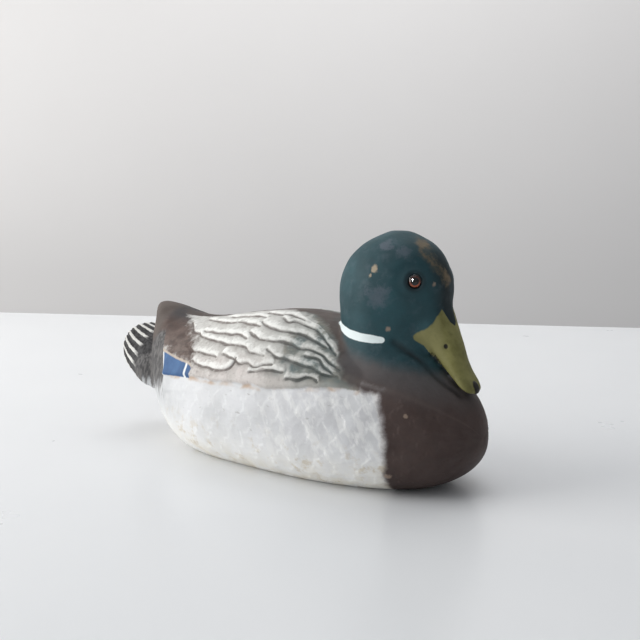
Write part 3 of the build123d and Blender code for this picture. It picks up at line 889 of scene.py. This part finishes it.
def iris_enamel():
    f = Finish("iris_enamel")
    out = f.carved("from_middle")
    streak = f.noise(900, 3, 0.6)
    colour = f.mix(streak, tint(150, 58, 20), tint(196, 88, 32))
    # Painted shade: the upper part of the iris is darker, standing in for the shadow and refraction
    # of the glass dome.
    high = f.node("SeparateXYZ", None, {0: f.place}, out=2) / MM - EYE_TIP[2]
    colour = f.mix(high.rise(-3.0, 1.0) * 0.9, colour, tint(40, 18, 12))
    colour = f.mix((out + streak * 0.2).rise(0.84, 1.02), colour, tint(26, 12, 9))
    return f.done(f.shell(colour=colour, rough=streak * 0.2 + 0.25, specular=0.3))


def pupil_enamel():
    f = Finish("pupil_enamel")
    depth = f.noise(800, 2)
    return f.done(f.shell(colour=f.mix(depth, tint(8, 7, 7), tint(20, 16, 14)),
                          rough=depth * 0.2 + 0.4, specular=0.15))


def bare_wood(name, light, dark, rough, grain_scale=1.0):
    """Cut wood with its grain along the decoy."""
    f = Finish(name)
    grain = f.noise(70 * grain_scale, 5, 0.6, f.stretched(0.12, 1.0, 1.0))
    fine = f.noise(420, 3, 0.6, f.stretched(0.08, 1.0, 1.0))
    colour = f.mix(grain.rise(0.35, 0.65), light, dark)
    colour = f.mix(fine.rise(0.5, 0.7) * 0.35, colour, dark)
    return f.done(f.shell(colour=colour, rough=fine * 0.2 + rough,
                          normal=f.bump(grain + fine * 0.5, 0.4, 0.3), specular=0.3))


def keel_paint():
    """The bottom board's grey-white paint, scuffed through to wood where the decoy stands."""
    f = Finish("keel_paint")
    grain = f.noise(60, 5, 0.6, f.stretched(0.12, 1.0, 1.0))
    wear = f.noise(45, 4, 0.65).rise(0.5, 0.64)
    paint = f.mix(f.noise(30).rise(0.35, 0.65), tint(198, 197, 190), tint(222, 222, 217))
    wood = f.mix(grain.rise(0.4, 0.6), tint(158, 134, 104), tint(120, 96, 70))
    return f.done(f.shell(colour=f.mix(wear * 0.8, paint, wood), rough=wear * 0.15 + 0.55,
                          normal=f.bump(grain - wear * 0.6, 0.5, 0.4), specular=0.3))


def metal(name, bright, dull, rough, tarnish_scale, pitting):
    f = Finish(name)
    tarnish = f.noise(tarnish_scale, 4, 0.6).rise(0.4, 0.68)
    scratch = f.noise(1600, 2, 0.5, f.stretched(0.1, 1.0, 1.0))
    pits = f.blots(900).fall(0.1, 0.35)
    return f.done(f.shell(colour=f.mix(tarnish, bright, dull), metal=1.0 - tarnish * 0.25,
                          rough=tarnish * 0.25 + scratch * 0.12 + rough,
                          normal=f.bump(scratch * 0.4 - pits * pitting, 0.5, 0.15)))


def rubber():
    f = Finish("gasket_rubber")
    dust = f.noise(200, 4, 0.6)
    return f.done(f.shell(colour=f.mix(dust, tint(30, 30, 30), tint(56, 54, 52)),
                          rough=dust * 0.2 + 0.65, normal=f.bump(dust, 0.3, 0.1)))


def table_top():
    f = Finish("white_table")
    smear = f.noise(6, 4, 0.6)
    return f.done(f.shell(colour=f.mix(smear, tint(222, 224, 226), tint(228, 229, 230)),
                          rough=smear * 0.1 + 0.24, specular=0.45))


def wall_paint():
    f = Finish("grey_wall")
    roll = f.noise(400, 2)
    return f.done(f.shell(colour=f.mix(f.noise(2, 2), tint(214, 212, 211), tint(219, 217, 216)),
                          rough=0.9, normal=f.bump(roll, 0.05, 0.3)))


def dress(piece, material):
    piece.data.materials.clear()
    piece.data.materials.append(material)


# ---- camera and light --------------------------------------------------------------------------

LOOK_AZIMUTH, LOOK_DOWN, LOOK_FROM = math.radians(38), math.radians(11.5), 0.75175
LOOK_AT = Vector((0.0373, 0.0, 0.07275))
FRAME_SIDE = 640


def set_camera():
    eye = bpy.data.objects.new("camera", bpy.data.cameras.new("camera"))
    bpy.context.scene.collection.objects.link(eye)
    back = Vector((math.sin(LOOK_AZIMUTH) * math.cos(LOOK_DOWN),
                   -math.cos(LOOK_AZIMUTH) * math.cos(LOOK_DOWN), math.sin(LOOK_DOWN)))
    eye.location = LOOK_AT + back * LOOK_FROM
    eye.rotation_mode = "QUATERNION"
    eye.rotation_quaternion = (-back).to_track_quat("-Z", "Y")
    eye.data.lens, eye.data.sensor_width = 50, 36
    eye.data.shift_x, eye.data.shift_y = -4 / FRAME_SIDE, 58 / FRAME_SIDE
    eye.data.clip_start, eye.data.clip_end = 0.02, 30
    eye.data.dof.use_dof = False
    bpy.context.scene.camera = eye


def soft_light(name, place, size, power, towards, colour=(1, 1, 1)):
    lamp = bpy.data.lights.new(name, "AREA")
    lamp.shape, lamp.size = "SQUARE", size
    lamp.energy, lamp.color = power, colour
    made = bpy.data.objects.new(name, lamp)
    made.location = place
    made.rotation_mode = "QUATERNION"
    made.rotation_quaternion = (Vector(towards) - Vector(place)).to_track_quat("-Z", "Y")
    bpy.context.scene.collection.objects.link(made)
    return made


def catch_light():
    """A small lamp that only the glass eyes reflect."""
    lamp = soft_light("catch_light", (0.3, -1.13, 0.58), 0.55, 60, (0.143, -0.027, 0.162))
    eyes = bpy.data.collections.new("glass_eyes")
    for node in ("right_eye_glass", "left_eye_glass"):
        eyes.objects.link(NODES[node])
    lamp.light_linking.receiver_collection = eyes


def slab(name, corners, thick, up):
    """A board with eased edges, standing in for the table or the wall."""
    blank = bmesh.new()
    for lift in (0, -thick):
        for c in corners:
            blank.verts.new(Vector(c) + Vector(up) * lift)
    v = list(blank.verts)
    blank.faces.new(v[:4])
    blank.faces.new(v[7:3:-1])
    for k in range(4):
        n = (k + 1) % 4
        blank.faces.new((v[k], v[k + 4], v[n + 4], v[n]))
    bmesh.ops.recalc_face_normals(blank, faces=blank.faces)
    bmesh.ops.bevel(blank, geom=list(blank.edges), offset=0.003, segments=3, affect="EDGES",
                    profile=0.5)
    mesh = bpy.data.meshes.new(name)
    blank.to_mesh(mesh)
    blank.free()
    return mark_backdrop(shown(name, mesh)) or bpy.data.objects[name]


def set_room():
    away = Vector((-math.sin(LOOK_AZIMUTH), math.cos(LOOK_AZIMUTH), 0))
    across = Vector((math.cos(LOOK_AZIMUTH), math.sin(LOOK_AZIMUTH), 0))
    middle = Vector((LOOK_AT.x, 0, 0))
    far, near, wide = middle + away * 0.895, middle - away * 2.6, across * 2.4
    askew = away * 0.43
    table = slab("table", [near - wide, near + wide, far + wide - askew, far - wide + askew],
                 0.04, (0, 0, 1))
    dress(table, table_top())
    behind = middle + away * 1.5
    tall = Vector((0, 0, 2.2))
    foot = Vector((0, 0, -1.0))
    wall = slab("wall", [behind - wide * 2 + foot, behind + wide * 2 + foot,
                         behind + wide * 2 + tall, behind - wide * 2 + tall], 0.02, away * -1)
    dress(wall, wall_paint())

    world = bpy.data.worlds.new("daylight")
    bpy.context.scene.world = world
    world.use_nodes = True
    sky = world.node_tree.nodes["Background"]
    sky.inputs["Color"].default_value = (0.93, 0.96, 1.0, 1)
    sky.inputs["Strength"].default_value = 0.34
    soft_light("window", (-1.6, -1.35, 0.75), 2.0, 53, (0, 0, 0.05), (1.0, 0.985, 0.96))
    soft_light("ceiling", (-0.4, -0.2, 2.2), 2.6, 14, (0, 0, 0), (0.96, 0.98, 1.0))
    soft_light("backdrop", middle + away * 0.8 + across * 0.35 + Vector((0, 0, 1.6)), 1.2, 11,
               behind + Vector((0, 0, 0.5)) + across * 0.3)


# ---- putting it together -----------------------------------------------------------------------

def put_on(piece, body, slot, *nodes):
    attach(piece, body)
    if nodes:
        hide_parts(*nodes)


def main():
    set_camera()
    set_room()
    catch_light()

    paint = duck_paint()
    pieces = part_by_node(carve_duck(), {
        "carved_body": ["body_upper"],
        "carved_head": ["head", "right_eye_putty", "left_eye_putty"],
        "carved_bill": ["bill"],
        "carved_tail": ["tail_fan"]})
    put_on(pieces["carved_body"], "decoy", "body_wood", "body_upper")
    put_on(pieces["carved_head"], "decoy", "head_wood", "head", "right_eye_putty",
           "left_eye_putty")
    put_on(pieces["carved_bill"], "decoy", "bill_wood", "bill")
    put_on(pieces["carved_tail"], "decoy", "tail_wood", "tail_fan")
    for piece in pieces.values():
        dress(piece, paint)

    iris_paint, pupil_paint = iris_enamel(), pupil_enamel()
    for side, word in ((-1, "right"), (1, "left")):
        iris = eye_disc(word + "_iris_disc", side, 4.9, 2.35, 0.75)
        put_on(iris, "decoy", "iris_enamel", word + "_eye_iris")
        dress(iris, iris_paint)
        pupil = eye_disc(word + "_pupil_disc", side, 2.9, 2.05, 0.25)
        put_on(pupil, "decoy", "pupil_enamel", word + "_eye_pupil")
        dress(pupil, pupil_paint)

    finishes = {
        "bottom_board": keel_paint(),
        "bottom_gasket": rubber(),
        "bottom_board_screws": metal("steel_screws", tint(190, 190, 188), tint(120, 112, 104),
                                     0.25, 160, 0.4),
        "ballast_weight": metal("ballast_lead", tint(120, 122, 126), tint(84, 84, 86), 0.45, 90,
                                1.0),
        "neck_lag_screw": metal("steel_lag", tint(176, 176, 176), tint(104, 98, 92), 0.3, 120,
                                0.6),
        "neck_dowels": bare_wood("dowel_wood", tint(214, 184, 144), tint(184, 150, 110), 0.55,
                                 2.0),
        "line_tie_saddle": metal("brass_fittings", tint(188, 152, 84), tint(118, 92, 52), 0.28,
                                 140, 0.5),
        "eye_glass": glass(),
    }
    alike = {"ballast_screws": "bottom_board_screws", "neck_washer": "neck_lag_screw",
             "line_tie_screws": "line_tie_saddle", "anchor_ring": "line_tie_saddle",
             "right_eye_glass": "eye_glass", "left_eye_glass": "eye_glass"}
    for name, node in NODES.items():
        if not node.hide_render:
            dress(node, finishes[alike.get(name, name)])


main()
bpy.context.scene.view_settings.view_transform = "Standard"
